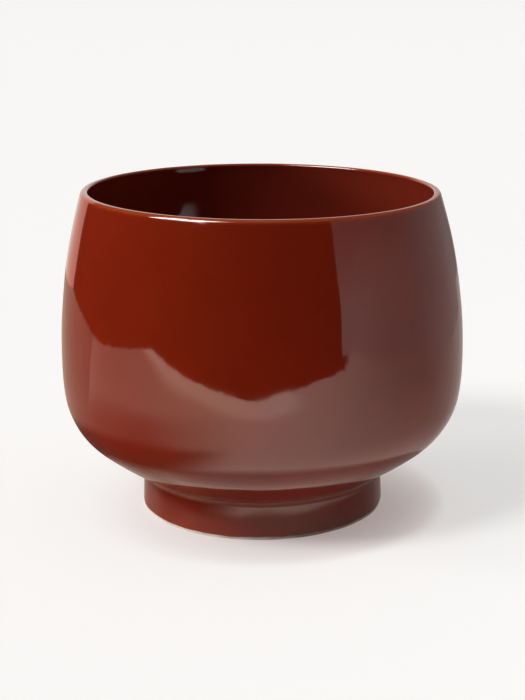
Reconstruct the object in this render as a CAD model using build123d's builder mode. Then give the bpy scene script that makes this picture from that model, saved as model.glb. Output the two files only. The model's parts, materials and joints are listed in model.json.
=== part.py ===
from build123d import *
from math import asin, cos, degrees, radians, sin, tan
import os

# Glazed stoneware cachepot: a round bowl on a low foot ring.
# The origin is on the axis, at the level that the foot ring stands on, and +Z is up.
# Lengths are millimetres and angles are degrees.
# The bowl is glazed all over, so its solid holds the clay and the coat together.
# The coat on the foot ends above the ground, so there clay and coat are separate solids.

# Overall
height = 200.0
belly_radius = 125.0
wall = 5.0
glaze = 0.6

# Outline of the bowl: a chain of tangent arcs from the lip down to the neck
side_arc_radius = 341.5
side_angle_below_belly = 3.1
shoulder_arc_radius = 51.8
shoulder_arc_angle = 48.8
underside_arc_radius = 212.0
underside_arc_angle = 8.7
neck_radius = 5.0

# Lip: a band that slopes up from a crisp outer corner to the crest, and a small bevel inside
lip_radius = 1.2
lip_slope_angle = 14.0
lip_bevel = 0.8

# Foot ring
foot_height = 20.0
foot_lean_angle = 2.5
foot_width = 6.5
foot_edge_bevel = 0.8
recess_edge_bevel = 1.5
recess_draft_angle = 4.0

# Base of the bowl and its joint to the foot ring
floor_thickness = 7.5
slip = 0.5

# Where the coat ends on the outside and the inside of the foot ring
bare_foot_height = 1.2
bare_recess_height = 3.0
glaze_pool = 1.6

# Direction of the outline at the end of each arc, from straight down towards the axis
level_angle = 90.0
side_end_angle = side_angle_below_belly
shoulder_end_angle = side_end_angle + shoulder_arc_angle
underside_end_angle = shoulder_end_angle + underside_arc_angle

# Heights and radii that follow from the chain of arcs
belly_height = (
    foot_height
    + side_arc_radius * sin(radians(side_end_angle))
    + shoulder_arc_radius * (sin(radians(shoulder_end_angle)) - sin(radians(side_end_angle)))
    + underside_arc_radius * (sin(radians(underside_end_angle)) - sin(radians(shoulder_end_angle)))
    + neck_radius * (sin(radians(underside_end_angle)) + sin(radians(foot_lean_angle)))
)
foot_top_radius = (
    belly_radius
    - side_arc_radius * (1 - cos(radians(side_end_angle)))
    - shoulder_arc_radius * (cos(radians(side_end_angle)) - cos(radians(shoulder_end_angle)))
    - underside_arc_radius * (cos(radians(shoulder_end_angle)) - cos(radians(underside_end_angle)))
    - neck_radius * (cos(radians(foot_lean_angle)) - cos(radians(underside_end_angle)))
)
floor_height = foot_height + floor_thickness
joint_height = foot_height - slip


def foot_radius(level):
    """Radius of the glazed outside of the foot at a level."""
    return foot_top_radius + (foot_height - level) * tan(radians(foot_lean_angle))


def foot_clay_radius(level):
    """Radius of the clay under that coat at a level."""
    return foot_radius(level) - glaze / cos(radians(foot_lean_angle))


def recess_radius(level):
    """Radius of the clay wall inside the foot ring at a level."""
    return foot_radius(0) - foot_width - level * tan(radians(recess_draft_angle))


def inner_side_angle():
    """Angle of the wall's inside arc, from the belly up to the bevel inside the lip."""
    rise = height - lip_bevel - belly_height
    return degrees(asin(rise / (side_arc_radius - wall)))


def outer_side_angle():
    """Angle of the side arc, from the belly up to the rounding that ends in the lip's band."""
    inner_arc_radius = side_arc_radius - wall
    crest_reach = inner_arc_radius * cos(radians(inner_side_angle())) + lip_bevel
    crest_rise = height - belly_height
    slope = radians(lip_slope_angle)
    band_distance = crest_reach * sin(slope) + crest_rise * cos(slope)
    end = asin((band_distance - lip_radius) / (side_arc_radius - lip_radius))
    return degrees(end) - lip_slope_angle


def outside_line():
    """Outline of the bowl from the lip's band down to its joint with the foot."""
    angle = outer_side_angle()
    belly = (belly_radius, belly_height)
    side = JernArc(belly, (0, 1), side_arc_radius, angle)
    lip = JernArc(side @ 1, side % 1, lip_radius, level_angle - lip_slope_angle - angle)
    below = JernArc(belly, (0, -1), side_arc_radius, -side_angle_below_belly)
    shoulder = JernArc(below @ 1, below % 1, shoulder_arc_radius, -shoulder_arc_angle)
    under = JernArc(shoulder @ 1, shoulder % 1, underside_arc_radius, -underside_arc_angle)
    neck = JernArc(under @ 1, under % 1, neck_radius, underside_end_angle + foot_lean_angle)
    return lip @ 1, neck @ 1


def inside_line():
    """Inside of the bowl, one wall in, from below the lip's bevel to the middle of the floor."""
    belly = (belly_radius - wall, belly_height)
    side = JernArc(belly, (0, 1), side_arc_radius - wall, inner_side_angle())
    below = JernArc(belly, (0, -1), side_arc_radius - wall, -side_angle_below_belly)
    shoulder = JernArc(below @ 1, below % 1, shoulder_arc_radius - wall, -shoulder_arc_angle)
    blend_angle = level_angle - shoulder_end_angle
    drop = (shoulder @ 1).Y - floor_height
    blend_radius = drop / (1 - cos(radians(blend_angle)))
    blend = JernArc(shoulder @ 1, shoulder % 1, blend_radius, -blend_angle)
    Line(blend @ 1, (0, floor_height))
    return side @ 1


# Bowl, seated flat on the foot ring
with BuildPart() as bowl:
    with BuildSketch(Plane.XZ):
        with BuildLine():
            band_end, neck_end = outside_line()
            lip_inner = inside_line()
            Polyline(band_end, (lip_inner.X + lip_bevel, height), lip_inner)
            Polyline(neck_end, (0, foot_height), (0, floor_height))
        make_face()
    revolve(axis=Axis.Z)

# Joint: a thin layer of slip that holds the foot ring to the bowl
with BuildPart() as luting_slip:
    with BuildSketch(Plane.XZ):
        with BuildLine():
            Polyline(
                (foot_clay_radius(joint_height), joint_height),
                (foot_clay_radius(foot_height), foot_height),
                (recess_radius(foot_height), foot_height),
                (recess_radius(joint_height), joint_height),
                close=True,
            )
        make_face()
    revolve(axis=Axis.Z)

# Foot ring, open inside, with a bevelled bearing edge of bare clay
with BuildPart() as foot_ring:
    with BuildSketch(Plane.XZ) as ring_section:
        with BuildLine():
            Polyline(
                (foot_clay_radius(0), 0),
                (foot_clay_radius(joint_height), joint_height),
                (recess_radius(joint_height), joint_height),
                (recess_radius(0), 0),
                close=True,
            )
        make_face()
        inner_edge, outer_edge = ring_section.vertices().group_by(Axis.Y)[0].sort_by(Axis.X)
        chamfer(outer_edge, foot_edge_bevel)
        chamfer(inner_edge, recess_edge_bevel)
    revolve(axis=Axis.Z)

# Coat on the outside of the foot, from the neck down to the bare edge
with BuildPart() as foot_glaze:
    with BuildSketch(Plane.XZ):
        with BuildLine():
            Polyline(
                (foot_clay_radius(bare_foot_height), bare_foot_height),
                (foot_radius(bare_foot_height), bare_foot_height),
                (foot_radius(foot_height), foot_height),
                (foot_clay_radius(foot_height), foot_height),
                close=True,
            )
        make_face()
    revolve(axis=Axis.Z)

# Coat on the base and the wall of the recess, thicker where it gathers in the corner
with BuildPart() as underside_glaze:
    coat = glaze / cos(radians(recess_draft_angle))
    base_level = foot_height - glaze
    coat_corner = (recess_radius(base_level) - coat, base_level)
    with BuildSketch(Plane.XZ) as recess_section:
        with BuildLine():
            Polyline(
                (recess_radius(bare_recess_height), bare_recess_height),
                (recess_radius(foot_height), foot_height),
                (0, foot_height),
                (0, base_level),
                coat_corner,
                (recess_radius(bare_recess_height) - coat, bare_recess_height),
                close=True,
            )
        make_face()
        chamfer(recess_section.vertices().sort_by_distance(coat_corner)[0], glaze_pool)
    revolve(axis=Axis.Z)

bowl.part.label = "bowl"
luting_slip.part.label = "luting_slip"
foot_ring.part.label = "foot_ring"
foot_glaze.part.label = "foot_glaze"
underside_glaze.part.label = "underside_glaze"

os.makedirs("parts", exist_ok=True)
export_step(bowl.part, "parts/bowl.step")
export_step(luting_slip.part, "parts/luting_slip.step")
export_step(foot_ring.part, "parts/foot_ring.step")
export_step(foot_glaze.part, "parts/foot_glaze.step")
export_step(underside_glaze.part, "parts/underside_glaze.step")
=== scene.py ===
import json
from math import asin, cos, pi, radians, sin, tan

import bmesh
import bpy
import numpy as np
from mathutils import Matrix, Vector


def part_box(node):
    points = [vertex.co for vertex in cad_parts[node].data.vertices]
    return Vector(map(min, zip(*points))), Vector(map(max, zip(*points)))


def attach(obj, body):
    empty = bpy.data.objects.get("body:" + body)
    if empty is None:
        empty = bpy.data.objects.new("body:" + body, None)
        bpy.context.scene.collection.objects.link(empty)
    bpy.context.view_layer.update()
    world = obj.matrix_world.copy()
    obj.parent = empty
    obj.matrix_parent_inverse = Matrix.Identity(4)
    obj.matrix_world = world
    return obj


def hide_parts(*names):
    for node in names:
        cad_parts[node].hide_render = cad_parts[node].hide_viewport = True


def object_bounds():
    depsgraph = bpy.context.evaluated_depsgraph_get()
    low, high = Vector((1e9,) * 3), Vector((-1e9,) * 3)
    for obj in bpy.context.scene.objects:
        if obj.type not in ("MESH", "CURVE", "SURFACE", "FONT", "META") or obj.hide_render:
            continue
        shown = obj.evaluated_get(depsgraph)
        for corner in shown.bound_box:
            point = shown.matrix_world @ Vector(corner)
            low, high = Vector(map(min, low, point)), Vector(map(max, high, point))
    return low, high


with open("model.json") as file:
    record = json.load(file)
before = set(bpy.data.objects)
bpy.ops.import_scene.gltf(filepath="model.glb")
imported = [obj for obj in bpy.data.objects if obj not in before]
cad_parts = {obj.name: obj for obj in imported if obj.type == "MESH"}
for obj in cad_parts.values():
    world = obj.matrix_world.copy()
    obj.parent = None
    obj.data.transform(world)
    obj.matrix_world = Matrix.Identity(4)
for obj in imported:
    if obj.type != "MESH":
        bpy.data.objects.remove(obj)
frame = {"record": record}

# Glazed cachepot on a pale floor.
# Lengths are metres. Directions round the pot are azimuths: 0 faces the camera and 90 is its right.
MM = 0.001
cad_low, cad_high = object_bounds()

# Sizes taken from the frame
HEIGHT = cad_high.z
BELLY_RADIUS = cad_high.x
FOOT_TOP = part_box("luting_slip")[1].z
SLIP = FOOT_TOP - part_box("luting_slip")[0].z
FOOT_BOTTOM_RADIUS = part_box("foot_ring")[1].x
FLOOR_LEVEL = next(m["pos_m"][2] for m in frame["record"]["mounts"] if m["name"] == "inner_floor")

# Outline of the bowl: radius and end direction of each arc below the lip.
# A direction is the angle from straight down towards the axis.
BELLY_HEIGHT = 97.3 * MM
SIDE_RADIUS = 353.5 * MM
BELLY_ARC_RADIUS = 173.4 * MM
SHOULDER_RADIUS = 46.7 * MM
UNDERSIDE_RADIUS = 192.5 * MM
NECK_RADIUS = 5.0 * MM
NECK_STRAIGHT = 0.4 * MM
BELLY_ARC_END = radians(7.76)
SHOULDER_END = radians(50.46)
UNDERSIDE_END = radians(60.86)
EASE_ANGLE = radians(3.5)
WALL = 5.0 * MM
COAT = 0.6 * MM

# Lip: a narrow flat top between a rounded outer corner and a tighter inner edge
LIP_HEIGHT = HEIGHT - 0.44 * MM
LIP_CORNER_RADIUS = 2.7 * MM
LIP_EDGE_RADIUS = 1.3 * MM
LIP_WALL = 4.4 * MM
LIP_TAPER = 25 * MM
LIP_SPARE = 3 * MM
ROUNDING_GAP = 0.3 * MM

# Foot ring
FOOT_LEAN = radians(2.5)
FOOT_WIDTH = 6.5 * MM
RECESS_DRAFT = radians(4)
FOOT_EDGE_RADIUS = 0.5 * MM
RECESS_EDGE_RADIUS = 1.5 * MM
BARE_FOOT = 1.7 * MM
BARE_RECESS = 3.0 * MM
GLAZE_POOL = 1.6 * MM
COAT_EDGE_RADIUS = 0.51 * MM

# Small departures from a true circle, as in any fired pot
FOOT_SHIFT = -0.8 * MM
RIM_TILT = 1.5 * MM
RIM_DIP = 0.25 * MM
WAVE_HEIGHT = 0.035 * MM
WAVE_LENGTH = 42 * MM
WAVES = 9
WAVE_TURN = 0.3
WAVE_PHASE = 2.4
WAVE_FREE_RADIUS = BELLY_RADIUS / 3

# Wander of the coat's lower edge: waves round the foot, where each starts and its share of the height
COAT_WANDER = 0.13 * MM
COAT_WANDER_REACH = 3 * MM
COAT_WANDER_COUNTS = (5, 13, 31, 57)
COAT_WANDER_STARTS = (0.8, 2.1, 0.0, 1.2)
COAT_WANDER_SHARES = (1.0, 0.7, 0.5, 0.3)

# Number of points along each stretch of an outline, and round the axis
SEGMENTS = 320
CURVE_STEPS = 4000
INSIDE_STEPS = 110
OUTSIDE_STEPS = 170
BLEND_STEPS = 24
NECK_STEPS = 26
LIP_EDGE_STEPS = 12
LIP_CORNER_STEPS = 18
DISC_STEPS = 12
FACE_STEPS = 10
FLAT_STEPS = 5
ROUND_STEPS = 8
COAT_STEPS = 26
COAT_EDGE_STEPS = 7
RECESS_COAT_EDGE_STEPS = 6
SLIP_STEPS = 3

# Points below the lip at which the directions of its two walls are taken
INSIDE_AIM = 3
OUTSIDE_AIM = 4

# Largest radius that counts as on the axis, and the bend from which an edge is a crease
ON_AXIS = 1e-7
CREASE_ANGLE = radians(24)

# Colours of the pot
GLAZE_COLOUR = (0.235, 0.0165, 0.0040)
GLAZE_THIN = (0.40, 0.060, 0.014)
GLAZE_THICK = (0.10, 0.008, 0.003)
GLAZE_GRAIN_COLOUR = (0.17, 0.011, 0.003)
# Painted reflection: a duller, greyer red inside the bowl stands in for the faint pale veil that the inner
# glaze mirrors
INSIDE_PAINTED_VEIL = (0.205, 0.023, 0.011)
CLAY_COLOUR = (0.80, 0.74, 0.66)
SAND_COLOUR = (0.45, 0.33, 0.24)
SLIP_DARK = (0.60, 0.53, 0.45)
SLIP_LIGHT = (0.74, 0.68, 0.60)

# Patterns in glaze, clay and slip: features per metre, detail and roughness
GLAZE_CLOUD = (14.0, 3.0, 0.55)
GLAZE_GRAIN = (110.0, 4.0, 0.65)
GLAZE_SPECK = (900.0, 1.0, 0.5)
GLAZE_UNEVEN = (60.0, 2.0, 0.5)
GLAZE_RIPPLE = (260.0, 2.0, 0.5)
CLAY_SAND = (1400.0, 2.0, 0.6)
CLAY_CLOUD = (60.0, 3.0, 0.55)
SLIP_CLOUD = (300.0, 3.0, 0.55)

# Value that a pattern varies about
PATTERN_MIDDLE = 0.5

# Which part of a pattern shows, and how much of its colour
CLOUD_SHARES = (0.3, 0.7)
GRAIN_SHARES = (0.35, 0.75)
SPECK_SHARES = (0.72, 0.80)
ROUGH_SHARES = (0.2, 0.8)
SAND_SHARES = (0.62, 0.75)
DEEP_SHARE = 0.94
LIGHT_SHARE = 1.05
GRAIN_SHARE = 0.10
SPECK_SHARE = 0.25
CLAY_DARK_SHARE = 0.82
SAND_SHARE = 0.4

# Where the coat thins, where it darkens in the crease above the foot, and how much of the thin or dark
# colour shows.
# A band runs from where the change starts to where it is full, in height or, for OUT, in radius.
RIM_BAND = (HEIGHT - 3.4 * MM, HEIGHT - 1.6 * MM)
RIM_SHARE = 0.35
CREST_BAND = (HEIGHT - 2.1 * MM, HEIGHT - 1.0 * MM)
CREST_SHARE = 0.75
LOW_BAND = (BARE_FOOT + 1.3 * MM, BARE_FOOT + 0.1 * MM)
LOW_SHARE = 0.5
NECK_BAND_BELOW = (FOOT_TOP - 3 * MM, FOOT_TOP + 1 * MM)
NECK_BAND_ABOVE = (FOOT_TOP + 7 * MM, FOOT_TOP + 2 * MM)
NECK_BAND_OUT = (70 * MM, 73 * MM)
NECK_SHARE = 0.15
UNEVEN_HEIGHT = 1.6 * MM
INSIDE_FADE = 0.002

# Finish of each surface: roughness, refractive index, and the relief too fine for the shape
GLAZE_ROUGHNESS = (0.035, 0.075)
GLAZE_INDEX = 1.5
RIPPLE_SHARE = 0.10
RIPPLE_HEIGHT = 0.08 * MM
CLAY_ROUGHNESS = 0.85
CLAY_INDEX = 1.45
TOOTH_SHARE = 0.35
TOOTH_HEIGHT = 0.12 * MM
SLIP_ROUGHNESS = 0.8

# Where a mixture of colours takes its two colours and gives the result
MIX_SOCKETS = (6, 7, 2)

# Camera
CAMERA_PLACE = (0.00014, -0.9393, 0.3514)
CAMERA_DOWN = radians(15.14)
CAMERA_ROLL = radians(-0.56)
CAMERA_LENS = 79.62
CAMERA_SENSOR = 36.0
CAMERA_NEAR = 0.05
CAMERA_FAR = 100

# Key light, a low light from the left, a wide fill from above and behind, and a square soft box.
# The lights reach the pot's colour and the floor, and only the soft box shows in the glaze.
# Its ends are lengths from its middle, and the near one is nearest the camera.
KEY_AZIMUTH = radians(-54)
KEY_ELEVATION = radians(46)
KEY_STRENGTH = 1.65
KEY_SOFTNESS = radians(17)
SIDE_AZIMUTH = radians(-94)
SIDE_ELEVATION = radians(14)
SIDE_STRENGTH = 1.4
SIDE_SOFTNESS = radians(20)
TOP_AZIMUTH = radians(160)
TOP_ELEVATION = radians(72)
TOP_STRENGTH = 0.5
TOP_SOFTNESS = radians(90)
AMBIENT = 0.10
SOFT_BOX_AZIMUTH = radians(-57)
SOFT_BOX_ELEVATION = radians(41)
SOFT_BOX_DISTANCE = 1.7
SOFT_BOX_FAR_END = -0.50
SOFT_BOX_NEAR_END = 0.75
SOFT_BOX_TALL = 1.15
SOFT_BOX_GLOW = 24.0
SOFT_BOX_TONE = (1.0, 0.98, 0.96)
SOFT_BOX_FADE = (0.40, SOFT_BOX_NEAR_END)
SOFT_BOX_SECOND_FADE = (-0.04, 0.14)
BELOW_SECOND_MIRRORING = 1.5

# Floor. The camera sees the paper lifted towards white, less where the pot closes it in, a painted contact
# shadow, and redder there, a painted bounce from the glaze.
PAPER_BOUNCE = (0.75, 0.73, 0.70)
PAPER_COLOUR = (0.50, 0.497, 0.490)
PAPER_LIFT = 0.59
PAPER_OPEN = (1.0, 0.99, 0.975)
# Painted red bounce from the glaze, on the paper close to the pot
PAPER_PAINTED_BOUNCE = (1.0, 0.80, 0.78)
CONTACT_SHARE = 0.66
CONTACT_REACH = 42 * MM
CONTACT_AZIMUTH = radians(-128)
CONTACT_ELEVATION = radians(24)
CONTACT_SAMPLES = 16
BARE_FLOOR = (0.02, 0.018, 0.017)
BARE_FLOOR_GLOW = 0.012
NO_COLOUR = (0.0, 0.0, 0.0)
FLOOR_REACH = 14.0

# Outline of the paper: its front edge slants away at the right, and the edges are torn
PAPER_FRONT = -0.535
PAPER_FRONT_TURN = -0.05
PAPER_FRONT_SLOPE = -0.17
PAPER_FRONT_WANDER = 0.10
PAPER_FRONT_FADE = 0.003
PAPER_RIGHT_TURN = 0.55
PAPER_RIGHT_SLOPE = -0.5
PAPER_LEFT = -0.88
PAPER_LEFT_WANDER = 0.2
PAPER_LEFT_FADE = 0.006
PAPER_TEAR = (9.0, 7.0, 0.62)

# Glow of the paper in the glaze: in front of the pot, and what it gains or loses round to each side
GLOW_AHEAD = 2.0
GLOW_RIGHT = 0.45
GLOW_RIGHT_TURN = radians(100)
GLOW_LEFT_NEAR = -1.64
GLOW_LEFT_NEAR_TURN = radians(-62)
GLOW_LEFT_FAR = -1.15
GLOW_LEFT_FAR_TURN = radians(-92)
GLOW_NEAR_TO_FAR = (0.24, 0.42)
GLOW_FRONT = 1.8
GLOW_FRONT_BAND = (-0.34, -0.50)
GLOW_FRONT_SIDE = (0.20, 0.02)
GLOW_LIMIT = 2.8
GLOW_BEHIND = 0.42
GLOW_BEHIND_PLACE = 0.18
GLOW_BEHIND_SLOPE = -0.28
GLOW_BEHIND_FADE = 0.008
GLOW_BEHIND_SIDE = (0.0, 0.05)
GLOW_BESIDE = (0.58, 0.22)
GLOW_BESIDE_TURN = (radians(10), radians(70))
GLOW_BESIDE_REACH = (0.12, 0.155)
GLOW_RING_INNER = (0.10, 0.13)
GLOW_RING_OUTER = (0.24, 0.17)
GLOW_RING_SIDE = (-0.03, -0.10)
GLOW_RING_SHARE = 0.85
GLOW_TONE_SIDE = (-0.15, 0.15)
GLOW_TONE_LEFT = (1.25, 0.96, 0.74)
GLOW_TONE_RIGHT = (1.08, 0.95, 0.87)

# White that the camera sees beyond the floor
WORLD_WHITE = (0.947, 0.938, 0.921)

# Backdrop that the pot sees behind it: warmer at its left end, and dimmer towards its right
BACKDROP_PLACE = 0.78
BACKDROP_HEIGHT = 0.62
BACKDROP_SPAN = (-0.88, 1.3)
BACKDROP_STEPS = 12
BACKDROP_TONE = (1.0, 0.95, 0.89)
BACKDROP_LEFT_TONE = (1.20, 0.66, 0.53)
BACKDROP_LEFT_FADE = (-0.60, -0.35)
BACKDROP_FADE = (0.0, 0.2)
BACKDROP_DIM_SHARE = 0.70
BACKDROP_FAR_FADE = (0.24, 0.42)
BACKDROP_FAR_SHARE = 0.34

# Pale board at the right: corners on the floor, levels, and how it dims along and up
BOARD_CORNERS = ((0.73, -0.83), (0.95, -0.80), (0.42, 0.55))
BOARD_LEVELS = (0.0, 0.35, 0.9)
BOARD_TONE = (1.0, 0.98, 0.95)
BOARD_GLOW = 0.95
BOARD_NEAR_FADE = (-0.8, 0.1)
BOARD_NEAR_SHARE = 0.50
BOARD_FAR_FADE = (0.1, 0.6)
BOARD_FAR_SHARE = 0.62
BOARD_UP_FADE = (0.15, 0.55)
BOARD_UP_SHARE = 0.45
BOARD_BOUNCE_SHARE = 0.5

# Dark room: walls under a faint ceiling
ROOM_RADIUS = 9.5
ROOM_TONE = (0.9, 0.85, 0.8)
ROOM_TURN_STEPS = 121
ROOM_RISE_STEPS = 24
ROOM_RISE = radians(86)
ROOM_FADE = (5.9, 8.6)
ROOM_GLOW = (0.012, 0.15)


# Outline


def smooth(low, high, value):
    """A smooth step from 0 at one value to 1 at another."""
    share = np.clip((value - low) / (high - low), 0, 1)
    return share * share * (3 - 2 * share)


def arc(centre, radius, start, end, steps):
    """Points of an arc; directions are angles from the +radius axis towards +height."""
    return [
        (centre[0] + radius * cos(a), centre[1] + radius * sin(a))
        for a in np.linspace(start, end, steps)
    ]


def line(start, end, steps):
    """Points of a straight stretch, with both ends."""
    return [tuple(p) for p in np.linspace(start, end, steps)]


def wall_curve(inset, start, end, steps):
    """Points of the wall, moved in by an inset, from one direction to another.

    The radius of the arcs is eased where one meets the next, so that reflections run on smoothly.
    """
    angle = np.linspace(start, end, steps)
    fine = np.linspace(start - EASE_ANGLE, end + EASE_ANGLE, CURVE_STEPS)
    step = fine[1] - fine[0]
    radius = np.select(
        [fine < 0, fine < BELLY_ARC_END, fine < SHOULDER_END],
        [SIDE_RADIUS, BELLY_ARC_RADIUS, SHOULDER_RADIUS],
        UNDERSIDE_RADIUS,
    )
    reach = max(1, int(EASE_ANGLE / step) // 2)
    kernel = np.ones(2 * reach + 1) / (2 * reach + 1)
    padded = np.concatenate([np.full(reach, radius[0]), radius, np.full(reach, radius[-1])])
    eased = np.convolve(padded, kernel, "valid") - inset
    down = np.concatenate([[0], np.cumsum((eased * np.cos(fine))[1:] * step)])
    across = np.concatenate([[0], np.cumsum((eased * np.sin(fine))[1:] * step)])
    level = BELLY_HEIGHT - (np.interp(angle, fine, down) - np.interp(0, fine, down))
    moved = np.interp(angle, fine, across) - np.interp(0, fine, across)
    return list(zip(BELLY_RADIUS - inset - moved, level))


def side_curve(inset, end, steps):
    """Points of the wall from exactly the lip's level down."""
    above = LIP_HEIGHT + LIP_SPARE
    start = -asin((above - BELLY_HEIGHT) / (SIDE_RADIUS - inset))
    points = wall_curve(inset, start, end, steps)
    first = next(i for i, p in enumerate(points) if p[1] < LIP_HEIGHT)
    levels = [p[1] for p in points[::-1]]
    radii = [p[0] for p in points[::-1]]
    return [(float(np.interp(LIP_HEIGHT, levels, radii)), LIP_HEIGHT)] + points[first:]


FOOT_TOP_RADIUS = FOOT_BOTTOM_RADIUS + COAT - FOOT_TOP * tan(FOOT_LEAN)


def foot_radius(level):
    """Radius of the glazed outside of the foot at a level."""
    return FOOT_TOP_RADIUS + (FOOT_TOP - level) * tan(FOOT_LEAN)


def recess_radius(level):
    """Radius of the clay wall inside the foot ring at a level."""
    return foot_radius(0) - FOOT_WIDTH - level * tan(RECESS_DRAFT)


def fit_neck(points):
    """The wall's points, moved a little so that they end where the neck's arc starts."""
    neck_foot = FOOT_TOP + NECK_STRAIGHT
    centre = (
        foot_radius(neck_foot) + NECK_RADIUS * cos(FOOT_LEAN),
        neck_foot + NECK_RADIUS * sin(FOOT_LEAN),
    )
    neck = arc(centre, NECK_RADIUS, pi - UNDERSIDE_END, pi + FOOT_LEAN, NECK_STEPS)
    gap = (neck[0][0] - points[-1][0], neck[0][1] - points[-1][1])
    level = np.array([p[1] for p in points])
    share = smooth(BELLY_HEIGHT, points[-1][1], level)
    moved = [(p[0] + s * gap[0], p[1] + s * gap[1]) for p, s in zip(points, share)]
    return moved + neck[1:] + [(foot_radius(FOOT_TOP), FOOT_TOP)]


def round_corner(before, corner, after, radius, steps):
    """Points of an arc that rounds a corner between two straight stretches."""
    a = (Vector(before) - Vector(corner)).normalized()
    b = (Vector(after) - Vector(corner)).normalized()
    half = a.angle(b) / 2
    middle = (a + b).normalized()
    centre = Vector(corner) + middle * (radius / sin(half))
    first = Vector(corner) + a * (radius / tan(half)) - centre
    last = Vector(corner) + b * (radius / tan(half)) - centre
    sweep = first.angle_signed(last)
    return [
        tuple(centre + Matrix.Rotation(-sweep * s, 2) @ first)
        for s in np.linspace(0, 1, steps)
    ]


def inside_outline():
    """Outline of the bowl's inside, from the middle of its floor up to the lip's level."""
    side = [
        (r + (WALL - LIP_WALL) * smooth(HEIGHT - LIP_TAPER, HEIGHT, h), h)
        for r, h in side_curve(WALL, SHOULDER_END, INSIDE_STEPS)
    ]
    low_radius, low_level = side[-1]
    blend_radius = (low_level - FLOOR_LEVEL) / (1 - sin(SHOULDER_END))
    blend = [
        (
            low_radius - blend_radius * (cos(SHOULDER_END) - cos(a)),
            low_level - blend_radius * (sin(a) - sin(SHOULDER_END)),
        )
        for a in np.linspace(SHOULDER_END, pi / 2, BLEND_STEPS)[1:]
    ]
    floor = line(blend[-1], (0, FLOOR_LEVEL), DISC_STEPS)[1:]
    return (side + blend + floor)[::-1]


def bowl_outline():
    """Outline of the glazed bowl, from the middle of its floor up the inside, over the lip and down."""
    inside = inside_outline()
    outside = fit_neck(side_curve(0, UNDERSIDE_END, OUTSIDE_STEPS))
    inner_corner, outer_corner = inside[-1], outside[0]
    below_inner, below_outer = inside[-1 - INSIDE_AIM], outside[OUTSIDE_AIM]
    inner_edge = round_corner(
        below_inner, inner_corner, outer_corner, LIP_EDGE_RADIUS, LIP_EDGE_STEPS
    )
    outer_edge = round_corner(
        inner_corner, outer_corner, below_outer, LIP_CORNER_RADIUS, LIP_CORNER_STEPS
    )
    top = line(inner_edge[-1], outer_edge[0], FLAT_STEPS)[1:-1]
    lower = [p for p in outside[1:] if p[1] < outer_edge[-1][1] - ROUNDING_GAP]
    inside = [p for p in inside if p[1] < inner_edge[0][1] - ROUNDING_GAP]
    base = line((FOOT_TOP_RADIUS, FOOT_TOP), (0, FOOT_TOP), DISC_STEPS)[1:]
    return inside + inner_edge + top + outer_edge + lower + base


def foot_clay_outline():
    """Section of the clay ring under the bowl, with rounded edges, as a closed loop."""
    top = FOOT_TOP - SLIP
    outer_top = (foot_radius(top) - COAT, top)
    outer_low = (foot_radius(0) - COAT, 0)
    inner_low = (recess_radius(0), 0)
    inner_top = (recess_radius(top), top)
    outer_edge = round_corner(outer_top, outer_low, inner_low, FOOT_EDGE_RADIUS, ROUND_STEPS)
    inner_edge = round_corner(outer_low, inner_low, inner_top, RECESS_EDGE_RADIUS, ROUND_STEPS)
    return (
        line(outer_top, outer_edge[0], FACE_STEPS)[:-1]
        + outer_edge
        + line(outer_edge[-1], inner_edge[0], FLAT_STEPS)[1:-1]
        + inner_edge
        + line(inner_edge[-1], inner_top, FACE_STEPS)[1:]
    )


def slip_outline():
    """Section of the slip between the bowl and the foot ring, as a closed loop."""
    inner, outer = recess_radius(FOOT_TOP), foot_radius(FOOT_TOP) - COAT
    low = FOOT_TOP - SLIP
    outer_side = line((outer, FOOT_TOP), (outer, low), SLIP_STEPS)
    inner_side = line((inner, low), (inner, FOOT_TOP), SLIP_STEPS)
    return outer_side + inner_side


def foot_coat_outline():
    """Section of the coat outside the foot, with a rounded lower edge, as a closed loop."""
    outer_top = (foot_radius(FOOT_TOP), FOOT_TOP)
    outer_low = (foot_radius(BARE_FOOT), BARE_FOOT)
    inner_low = (foot_radius(BARE_FOOT) - COAT, BARE_FOOT)
    inner_top = (foot_radius(FOOT_TOP) - COAT, FOOT_TOP)
    edge = round_corner(outer_top, outer_low, inner_low, COAT_EDGE_RADIUS, COAT_EDGE_STEPS)
    return line(outer_top, edge[0], COAT_STEPS)[:-1] + edge + [inner_low, inner_top]


def recess_coat_outline():
    """Section of the coat inside the foot, from the middle of the base to its lower edge and back."""
    base = FOOT_TOP - COAT
    corner = (recess_radius(base) - COAT, base)
    low = (recess_radius(BARE_RECESS) - COAT, BARE_RECESS)
    back_low = (recess_radius(BARE_RECESS), BARE_RECESS)
    pool = round_corner((0, base), corner, low, GLAZE_POOL, ROUND_STEPS)
    edge = round_corner(corner, low, back_low, COAT_EDGE_RADIUS, RECESS_COAT_EDGE_STEPS)
    return (
        line((0, base), pool[0], DISC_STEPS)[:-1]
        + pool
        + line(pool[-1], edge[0], FACE_STEPS)[1:-1]
        + edge
        + [back_low, (recess_radius(FOOT_TOP), FOOT_TOP), (0, FOOT_TOP)]
    )


# Shape


def departures(place, azimuth, radius, level):
    """Moves points of a true circle to where the fired pot has them."""
    height_share = smooth(BELLY_HEIGHT, HEIGHT, level)
    foot_share = 1 - smooth(FOOT_TOP, BELLY_HEIGHT, level)
    place[:, 0] += FOOT_SHIFT * foot_share
    slant = RIM_TILT * place[:, 0] + RIM_DIP * place[:, 1]
    place[:, 2] -= height_share * slant / BELLY_RADIUS
    wave = np.zeros(len(place))
    for number in range(WAVES):
        turn = pi * number / WAVES + WAVE_TURN
        across = round(2 * pi * BELLY_RADIUS / WAVE_LENGTH * cos(turn))
        up = 2 * pi / WAVE_LENGTH * sin(turn)
        wave += np.sin(across * azimuth + up * level + WAVE_PHASE * number * number)
    reach = smooth(0, WAVE_FREE_RADIUS, radius) * WAVE_HEIGHT
    place[:, 0] += wave * reach * np.sin(azimuth)
    place[:, 1] -= wave * reach * np.cos(azimuth)
    return place


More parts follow.
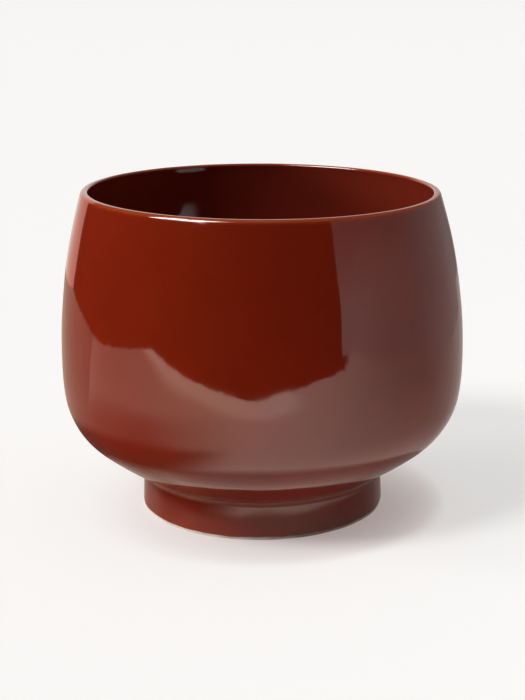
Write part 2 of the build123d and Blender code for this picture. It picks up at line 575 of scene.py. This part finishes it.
def coat_wander(radius, level, azimuth):
    """Height that the lower edge of a coat gains or loses, so that the bare line isn't ruled."""
    near = 1 - smooth(0, COAT_WANDER_REACH, level - BARE_FOOT)
    waves = zip(COAT_WANDER_COUNTS, COAT_WANDER_STARTS, COAT_WANDER_SHARES)
    wander = sum(share * np.sin(count * azimuth + start) for count, start, share in waves)
    return near * wander * COAT_WANDER


def ring_of_points(mesh, radius, level, azimuth, edge_wave):
    """One turn of an outline's point round the axis, or a single point on the axis."""
    angles = np.zeros(1) if radius < ON_AXIS else azimuth
    radii = np.full(len(angles), radius)
    levels = np.full(len(angles), level)
    if edge_wave is not None:
        levels = levels + edge_wave(radii, levels, angles)
    place = np.stack([radii * np.sin(angles), -radii * np.cos(angles), levels], 1)
    return [mesh.verts.new(p) for p in departures(place, angles, radii, levels)]


def lathe(name, outline, material, closed=False, edge_wave=None):
    """A closed solid turned from an outline that starts and ends on the axis, or that is a loop."""
    mesh = bmesh.new()
    azimuth = np.linspace(0, 2 * pi, SEGMENTS, endpoint=False)
    rings = [ring_of_points(mesh, r, h, azimuth, edge_wave) for r, h in outline]
    following = rings[1:] + rings[:1] if closed else rings[1:]
    for first, second in zip(rings, following):
        for i in range(SEGMENTS):
            j = (i + 1) % SEGMENTS
            if len(first) == 1:
                corners = (first[0], second[j], second[i])
            elif len(second) == 1:
                corners = (first[i], first[j], second[0])
            else:
                corners = (first[i], first[j], second[j], second[i])
            mesh.faces.new(corners)
    bmesh.ops.recalc_face_normals(mesh, faces=mesh.faces)
    for face in mesh.faces:
        face.smooth = True
    for edge in mesh.edges:
        edge.smooth = edge.calc_face_angle() < CREASE_ANGLE
    return add_mesh(name, mesh, material)


def add_mesh(name, mesh, material):
    """An object in the scene made from a finished mesh."""
    data = bpy.data.meshes.new(name)
    mesh.to_mesh(data)
    mesh.free()
    data.materials.append(material)
    made = bpy.data.objects.new(name, data)
    bpy.context.scene.collection.objects.link(made)
    return made


# Materials


class Nodes:
    """Short calls that add shader nodes and link them."""

    def __init__(self, owner):
        owner.use_nodes = True
        self.tree = owner.node_tree
        self.tree.nodes.clear()

    def add(self, kind, inputs=None, output=0, **settings):
        node = self.tree.nodes.new(kind)
        for key, value in settings.items():
            setattr(node, key, value)
        for key, value in (inputs or {}).items():
            if isinstance(value, bpy.types.NodeSocket):
                self.tree.links.new(value, node.inputs[key])
            else:
                node.inputs[key].default_value = value
        return node.outputs[output]

    def math(self, operation, a, b=0.0, c=0.0):
        return self.add("ShaderNodeMath", {0: a, 1: b, 2: c}, operation=operation)

    def times(self, a, b):
        return self.math("MULTIPLY", a, b)

    def plus(self, a, b):
        return self.math("ADD", a, b)

    def minus(self, a, b):
        return self.math("SUBTRACT", a, b)

    def spread(self, value, low, high, to_low=0.0, to_high=1.0):
        """A smooth step from one value to another."""
        return self.add(
            "ShaderNodeMapRange",
            {"Value": value, "From Min": low, "From Max": high, "To Min": to_low, "To Max": to_high},
            interpolation_type="SMOOTHSTEP",
        )

    def noise(self, place, scale, detail, roughness):
        return self.add(
            "ShaderNodeTexNoise",
            {"Vector": place, "Scale": scale, "Detail": detail, "Roughness": roughness},
        )

    def mix(self, share, a, b):
        """A colour between two colours."""
        first, second, result = MIX_SOCKETS
        inputs = {0: share, first: a, second: b}
        return self.add("ShaderNodeMix", inputs, output=result, data_type="RGBA")

    def parts(self, vector):
        """The three numbers of a vector."""
        return tuple(self.add("ShaderNodeSeparateXYZ", {0: vector}).node.outputs)

    def place(self):
        """Where a point of the studio is."""
        return self.add("ShaderNodeNewGeometry", output="Position")

    def length(self, x, y):
        """Distance of a point from the axis."""
        return self.math("SQRT", self.plus(self.times(x, x), self.times(y, y)))

    def ray(self, kind):
        """1 for rays of one kind, or how often a ray has been mirrored."""
        return self.add("ShaderNodeLightPath", output=kind)

    def together(self, a, b):
        """Two surfaces added to each other."""
        return self.add("ShaderNodeAddShader", {0: a, 1: b})

    def finish(self, surface):
        world = isinstance(self.tree.id_data, bpy.types.World)
        node = self.tree.nodes.new("ShaderNodeOutputWorld" if world else "ShaderNodeOutputMaterial")
        self.tree.links.new(surface, node.inputs["Surface"])


def colour(rgb, share=1.0):
    """A colour with its strength scaled by a share."""
    return (*(c * share for c in rgb), 1.0)


def glaze_body(n, place, grain):
    """Deep red with faint clouds, a finer grain and a few dark specks."""
    cloud = n.spread(n.noise(place, *GLAZE_CLOUD), *CLOUD_SHARES)
    body = n.mix(cloud, colour(GLAZE_COLOUR, DEEP_SHARE), colour(GLAZE_COLOUR, LIGHT_SHARE))
    darker = n.times(n.spread(grain, *GRAIN_SHARES), GRAIN_SHARE)
    body = n.mix(darker, body, colour(GLAZE_GRAIN_COLOUR))
    speck = n.spread(n.noise(place, *GLAZE_SPECK), *SPECK_SHARES)
    return n.mix(n.times(speck, SPECK_SHARE), body, colour(GLAZE_THICK))


def painted_veil_share(n, x, y, z):
    """1 where the surface faces the axis above the foot, and 0 outside the bowl: where the painted
    reflection veil goes.
    """
    facing = n.parts(n.add("ShaderNodeNewGeometry", output="Normal"))
    across = n.plus(n.times(x, facing[0]), n.times(y, facing[1]))
    return n.times(n.spread(across, INSIDE_FADE, -INSIDE_FADE), n.spread(z, FOOT_TOP, FLOOR_LEVEL))


def glaze_material():
    """Deep red glaze: thin and orange on the lip and lower edge, darker in the crease above the foot, and
    duller and greyer inside the bowl, a painted reflection veil.
    """
    material = bpy.data.materials.new("red_glaze")
    n = Nodes(material)
    place = n.add("ShaderNodeTexCoord", output="Object")
    x, y, z = n.parts(place)
    grain = n.noise(place, *GLAZE_GRAIN)
    body = glaze_body(n, place, grain)
    uneven = n.times(n.minus(n.noise(place, *GLAZE_UNEVEN), PATTERN_MIDDLE), UNEVEN_HEIGHT)
    level = n.math("MULTIPLY_ADD", x, RIM_TILT / BELLY_RADIUS, z)
    rim = n.spread(n.plus(level, uneven), *RIM_BAND)
    body = n.mix(n.times(rim, RIM_SHARE), body, colour(GLAZE_THIN))
    low = n.spread(n.plus(z, uneven), *LOW_BAND)
    body = n.mix(n.times(low, LOW_SHARE), body, colour(GLAZE_THIN))
    # Darker in the crease above the foot, under the belly
    neck = n.times(n.spread(z, *NECK_BAND_BELOW), n.spread(z, *NECK_BAND_ABOVE))
    neck = n.times(neck, n.spread(n.length(x, y), *NECK_BAND_OUT))
    body = n.mix(n.times(neck, NECK_SHARE), body, colour(GLAZE_THICK))
    # Painted reflection veil: the inside of the bowl takes a duller, greyer red
    body = n.mix(painted_veil_share(n, x, y, z), body, colour(INSIDE_PAINTED_VEIL))
    crest = n.spread(level, *CREST_BAND)
    body = n.mix(n.times(crest, CREST_SHARE), body, colour(GLAZE_THIN))
    ripple = n.noise(place, *GLAZE_RIPPLE)
    bump = n.add(
        "ShaderNodeBump", {"Height": ripple, "Strength": RIPPLE_SHARE, "Distance": RIPPLE_HEIGHT}
    )
    rough = n.spread(grain, *ROUGH_SHARES, *GLAZE_ROUGHNESS)
    n.finish(
        n.add(
            "ShaderNodeBsdfPrincipled",
            {"Base Color": body, "Roughness": rough, "IOR": GLAZE_INDEX, "Normal": bump},
        )
    )
    return material


def clay_material():
    """Fired cream clay, matt, with a fine sandy tooth."""
    material = bpy.data.materials.new("bare_clay")
    n = Nodes(material)
    place = n.add("ShaderNodeTexCoord", output="Object")
    sand = n.noise(place, *CLAY_SAND)
    cloud = n.spread(n.noise(place, *CLAY_CLOUD), *CLOUD_SHARES)
    body = n.mix(cloud, colour(CLAY_COLOUR, CLAY_DARK_SHARE), colour(CLAY_COLOUR, LIGHT_SHARE))
    grains = n.times(n.spread(sand, *SAND_SHARES), SAND_SHARE)
    body = n.mix(grains, body, colour(SAND_COLOUR))
    bump = n.add(
        "ShaderNodeBump", {"Height": sand, "Strength": TOOTH_SHARE, "Distance": TOOTH_HEIGHT}
    )
    n.finish(
        n.add(
            "ShaderNodeBsdfPrincipled",
            {"Base Color": body, "Roughness": CLAY_ROUGHNESS, "IOR": CLAY_INDEX, "Normal": bump},
        )
    )
    return material


def slip_material():
    """Slip of the same clay, a little greyer and smoother."""
    material = bpy.data.materials.new("joint_slip")
    n = Nodes(material)
    place = n.add("ShaderNodeTexCoord", output="Object")
    body = n.mix(n.noise(place, *SLIP_CLOUD), colour(SLIP_DARK), colour(SLIP_LIGHT))
    n.finish(n.add("ShaderNodeBsdfPrincipled", {"Base Color": body, "Roughness": SLIP_ROUGHNESS}))
    return material


# Object


def build_pot():
    """The five pieces, each named for the solid that it stands for."""
    glaze = glaze_material()
    clay = clay_material()
    pieces = (
        ("bowl_glazed", bowl_outline(), glaze, False, None, "bowl", "red_glaze"),
        ("foot_coat", foot_coat_outline(), glaze, True, coat_wander, "foot_glaze", "red_glaze"),
        ("recess_coat", recess_coat_outline(), glaze, False, coat_wander, "underside_glaze", "red_glaze"),
        ("foot_clay", foot_clay_outline(), clay, True, None, "foot_ring", "bare_clay"),
        ("joint_slip", slip_outline(), slip_material(), True, None, "luting_slip", "bare_clay"),
    )
    for name, outline, material, closed, edge_wave, node, slot in pieces:
        piece = lathe(name, outline, material, closed, edge_wave)
        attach(piece, "root")
        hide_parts(node)


# Floor


def direction(azimuth, elevation):
    """Unit vector towards a direction round the pot."""
    level = cos(elevation)
    return Vector((sin(azimuth) * level, -cos(azimuth) * level, sin(elevation)))


def paper_share(n, x, y):
    """1 on the pale paper and 0 on the dark studio floor round it, with a torn edge."""
    wander = n.minus(n.noise(n.place(), *PAPER_TEAR), PATTERN_MIDDLE)
    slant = n.times(n.math("MAXIMUM", n.minus(x, PAPER_FRONT_TURN), 0.0), PAPER_FRONT_SLOPE)
    right = n.times(n.math("MAXIMUM", n.minus(x, PAPER_RIGHT_TURN), 0.0), PAPER_RIGHT_SLOPE)
    torn = n.math("MULTIPLY_ADD", wander, PAPER_FRONT_WANDER, PAPER_FRONT)
    ahead = n.minus(y, n.plus(n.plus(slant, right), torn))
    left = n.minus(x, n.math("MULTIPLY_ADD", wander, PAPER_LEFT_WANDER, PAPER_LEFT))
    return n.times(
        n.spread(ahead, -PAPER_FRONT_FADE, PAPER_FRONT_FADE),
        n.spread(left, -PAPER_LEFT_FADE, PAPER_LEFT_FADE),
    )


def glow_round(n, out, turn):
    """Glow of the paper in front of the pot, and dimmer round to both sides."""
    right = n.spread(turn, 0.0, GLOW_RIGHT_TURN, GLOW_AHEAD, GLOW_RIGHT)
    near = n.spread(turn, 0.0, GLOW_LEFT_NEAR_TURN, 0.0, GLOW_LEFT_NEAR)
    far = n.spread(turn, 0.0, GLOW_LEFT_FAR_TURN, 0.0, GLOW_LEFT_FAR)
    left = n.math("MULTIPLY_ADD", n.minus(far, near), n.spread(out, *GLOW_NEAR_TO_FAR), near)
    return n.plus(right, left)


def floor_glow(n, x, y):
    """How bright the paper looks in the glaze: brightest in front, dimmer behind, and dimmer by the foot,
    a painted shadow of the pot.
    """
    out = n.length(x, y)
    turn = n.math("ARCTAN2", x, n.times(y, -1.0))
    front = n.times(n.spread(y, *GLOW_FRONT_BAND), n.spread(x, *GLOW_FRONT_SIDE))
    bright = n.math("MULTIPLY_ADD", front, GLOW_FRONT, glow_round(n, out, turn))
    behind = n.minus(y, n.times(n.plus(x, GLOW_BEHIND_PLACE), GLOW_BEHIND_SLOPE))
    behind = n.spread(behind, -GLOW_BEHIND_FADE, GLOW_BEHIND_FADE, GLOW_LIMIT, GLOW_BEHIND)
    limit = n.math("MAXIMUM", behind, n.spread(x, *GLOW_BEHIND_SIDE, 0.0, GLOW_LIMIT))
    bright = n.math("MINIMUM", bright, limit)
    # Painted shadow: the belly's shadow on the paper, seen only in the glaze, dims the glow close to the
    # pot
    beside = n.spread(turn, *GLOW_BESIDE_TURN, *GLOW_BESIDE)
    bright = n.math("MINIMUM", bright, n.spread(out, *GLOW_BESIDE_REACH, beside, GLOW_LIMIT))
    # Painted shadow: a darker ring on the paper at the left of the foot, under the belly
    ring = n.times(n.spread(out, *GLOW_RING_INNER), n.spread(out, *GLOW_RING_OUTER))
    ring = n.times(ring, n.spread(x, *GLOW_RING_SIDE))
    return n.times(bright, n.math("MULTIPLY_ADD", ring, -GLOW_RING_SHARE, 1.0))


def floor_lift(n, camera):
    """What lifts the paper towards white for the camera: less close to the pot, a painted contact shadow,
    and redder there, a painted red bounce from the glaze.
    """
    towards = direction(CONTACT_AZIMUTH, CONTACT_ELEVATION)
    towards = n.add("ShaderNodeCombineXYZ", {0: towards.x, 1: towards.y, 2: towards.z})
    contact = n.add(
        "ShaderNodeAmbientOcclusion",
        {"Distance": CONTACT_REACH, "Normal": towards},
        output="AO",
        samples=CONTACT_SAMPLES,
    )
    # Painted red bounce: the lift turns pinker where the pot closes the paper in
    tone = n.mix(contact, colour(PAPER_PAINTED_BOUNCE), colour(PAPER_OPEN))
    contact = n.math("MULTIPLY_ADD", contact, CONTACT_SHARE, 1 - CONTACT_SHARE)
    strength = n.times(camera, n.times(contact, PAPER_LIFT))
    return n.add("ShaderNodeEmission", {"Color": tone, "Strength": strength})


def floor_material():
    """Pale floor. The camera sees it run on, and the pot sees the sheet of paper that it stands on."""
    material = bpy.data.materials.new("floor")
    n = Nodes(material)
    camera = n.ray("Is Camera Ray")
    glossy = n.ray("Is Glossy Ray")
    x, y = n.parts(n.place())[:2]
    paper = paper_share(n, x, y)
    tone = n.mix(paper, colour(BARE_FLOOR), colour(PAPER_BOUNCE))
    tone = n.mix(camera, tone, colour(PAPER_COLOUR))
    tone = n.mix(glossy, tone, colour(NO_COLOUR))
    matt = n.add("ShaderNodeBsdfDiffuse", {"Color": tone})
    glow = n.math("MULTIPLY_ADD", paper, floor_glow(n, x, y), BARE_FLOOR_GLOW)
    side = n.spread(x, *GLOW_TONE_SIDE)
    warm = n.mix(side, colour(GLOW_TONE_LEFT), colour(GLOW_TONE_RIGHT))
    glow = n.add("ShaderNodeEmission", {"Color": warm, "Strength": n.times(glossy, glow)})
    n.finish(n.together(n.together(matt, floor_lift(n, camera)), glow))
    return material


# Stage


def stage_mesh(name, rows, material):
    """A grid surface that belongs to the studio."""
    mesh = bmesh.new()
    grid = [[mesh.verts.new(p) for p in row] for row in rows]
    for lower, upper in zip(grid, grid[1:]):
        for i in range(len(lower) - 1):
            mesh.faces.new((lower[i], lower[i + 1], upper[i + 1], upper[i]))
    made = add_mesh(name, mesh, material)
    return made


def card(name, rows, tone, fade, left_tone=None):
    """A glowing surface that the pot sees and the camera doesn't, and that throws no shadow."""
    made = stage_mesh(name, rows, glow_material(name, tone, fade, left_tone))
    made.visible_camera = False
    made.visible_transmission = False
    made.visible_volume_scatter = False
    made.visible_shadow = False
    return made


def glow_material(name, tone, fade, left_tone):
    """A surface that shines by itself. Fade turns a place into a strength, and the left end can differ."""
    material = bpy.data.materials.new(name)
    n = Nodes(material)
    x, y, z = n.parts(n.place())
    strength = fade(n, x, y, z)
    tone = colour(tone)
    if left_tone is not None:
        tone = n.mix(n.spread(x, *BACKDROP_LEFT_FADE), colour(left_tone), tone)
    n.finish(n.add("ShaderNodeEmission", {"Color": tone, "Strength": strength}))
    return material


def board_fade(n, x, y, z):
    """Brightest low down at its near end, and dimmer as a light than as a reflection."""
    along = n.spread(y, *BOARD_NEAR_FADE, 1.0, BOARD_NEAR_SHARE)
    further = n.spread(y, *BOARD_FAR_FADE, 1.0, BOARD_FAR_SHARE)
    up = n.spread(z, *BOARD_UP_FADE, 1.0, BOARD_UP_SHARE)
    dimmer = n.math("MULTIPLY_ADD", n.ray("Is Diffuse Ray"), BOARD_BOUNCE_SHARE - 1, 1.0)
    return n.times(n.times(n.times(along, further), n.times(up, dimmer)), BOARD_GLOW)


def backdrop_fade(n, x, y, z):
    """Near white behind the pot and to its left, and much dimmer at the right."""
    near = n.spread(x, *BACKDROP_FADE, 1.0, BACKDROP_DIM_SHARE)
    return n.times(near, n.spread(x, *BACKDROP_FAR_FADE, 1.0, BACKDROP_FAR_SHARE))


def room_fade(n, x, y, z):
    """Dark walls under a faint ceiling."""
    return n.spread(z, *ROOM_FADE, *ROOM_GLOW)


def box_fade(n, x, y, z):
    """Even, with a soft near end. What the glaze mirrors a second time shows only that end."""
    across = n.times(x, cos(SOFT_BOX_AZIMUTH))
    along = n.plus(across, n.times(y, sin(SOFT_BOX_AZIMUTH)))
    first = n.math("LESS_THAN", n.ray("Glossy Depth"), BELOW_SECOND_MIRRORING)
    seen = n.spread(along, *SOFT_BOX_FADE, SOFT_BOX_GLOW, 0.0)
    again = n.spread(along, *SOFT_BOX_SECOND_FADE, 0.0, SOFT_BOX_GLOW)
    return n.math("MULTIPLY_ADD", seen, first, n.times(again, n.minus(1.0, first)))


def dark_room_rows():
    """Rows of a dome round the whole studio, from the floor almost up to its top."""
    turns = np.linspace(-pi, pi, ROOM_TURN_STEPS)
    rises = np.linspace(0, ROOM_RISE, ROOM_RISE_STEPS)
    return [[direction(a, e) * ROOM_RADIUS for a in turns] for e in rises]


def soft_box_rows():
    """Rows of a rectangle that faces the pot's rim."""
    facing = direction(SOFT_BOX_AZIMUTH, SOFT_BOX_ELEVATION)
    across = Vector((0, 0, 1)).cross(facing).normalized()
    up = facing.cross(across) * SOFT_BOX_TALL / 2
    middle = Vector((0, 0, HEIGHT)) + facing * SOFT_BOX_DISTANCE
    ends = (SOFT_BOX_FAR_END, SOFT_BOX_NEAR_END)
    return [[middle + across * i + up * j for i in ends] for j in (-1, 1)]


def build_stage():
    """The floor, which the camera sees, and what only the pot sees round it."""
    ends = (-FLOOR_REACH, FLOOR_REACH)
    stage_mesh("floor", [[(x, y, 0) for x in ends] for y in ends], floor_material())
    card("dark_room", dark_room_rows(), ROOM_TONE, room_fade)
    rows = [[(x, y, h) for x, y in BOARD_CORNERS] for h in BOARD_LEVELS]
    card("pale_board", rows, BOARD_TONE, board_fade)
    places = np.linspace(*BACKDROP_SPAN, BACKDROP_STEPS)
    rows = [[(x, BACKDROP_PLACE, h) for x in places] for h in (0.0, BACKDROP_HEIGHT)]
    backdrop = card("backdrop", rows, BACKDROP_TONE, backdrop_fade, BACKDROP_LEFT_TONE)
    backdrop.visible_diffuse = False
    soft_box = card("soft_box", soft_box_rows(), SOFT_BOX_TONE, box_fade)
    soft_box.visible_diffuse = False


# Light


def sun(name, azimuth, elevation, strength, softness):
    """A soft lamp far away in one direction. The glaze sees the soft box instead."""
    lamp = bpy.data.lights.new(name, "SUN")
    lamp.energy = strength
    lamp.angle = softness
    lamp.cycles.use_multiple_importance_sampling = False
    made = bpy.data.objects.new(name, lamp)
    made.visible_glossy = False
    made.rotation_mode = "QUATERNION"
    made.rotation_quaternion = direction(azimuth, elevation).to_track_quat("Z", "Y")
    bpy.context.scene.collection.objects.link(made)


def build_light():
    """Three lamps, and a world that is white where it is seen and a faint fill elsewhere."""
    sun("key", KEY_AZIMUTH, KEY_ELEVATION, KEY_STRENGTH, KEY_SOFTNESS)
    sun("side", SIDE_AZIMUTH, SIDE_ELEVATION, SIDE_STRENGTH, SIDE_SOFTNESS)
    sun("top", TOP_AZIMUTH, TOP_ELEVATION, TOP_STRENGTH, TOP_SOFTNESS)
    world = bpy.data.worlds.new("studio")
    bpy.context.scene.world = world
    n = Nodes(world)
    seen = n.math("MAXIMUM", n.ray("Is Camera Ray"), n.ray("Is Glossy Ray"))
    seen = n.math("MAXIMUM", seen, n.ray("Is Transmission Ray"))
    tone = n.mix(seen, colour((AMBIENT, AMBIENT, AMBIENT)), colour(WORLD_WHITE))
    n.finish(n.add("ShaderNodeBackground", {"Color": tone, "Strength": 1.0}))


# Camera


def build_camera():
    """The camera of the photograph, fitted to the ellipses of the rim and the foot."""
    data = bpy.data.cameras.new("camera")
    data.lens = CAMERA_LENS
    data.sensor_width = CAMERA_SENSOR
    data.clip_start = CAMERA_NEAR
    data.clip_end = CAMERA_FAR
    camera = bpy.data.objects.new("camera", data)
    turn = Matrix.Rotation(pi / 2 - CAMERA_DOWN, 4, "X") @ Matrix.Rotation(CAMERA_ROLL, 4, "Z")
    camera.matrix_world = Matrix.Translation(CAMERA_PLACE) @ turn
    bpy.context.scene.collection.objects.link(camera)
    bpy.context.scene.camera = camera


build_pot()
build_stage()
build_light()
build_camera()
bpy.context.scene.view_settings.view_transform = "Standard"
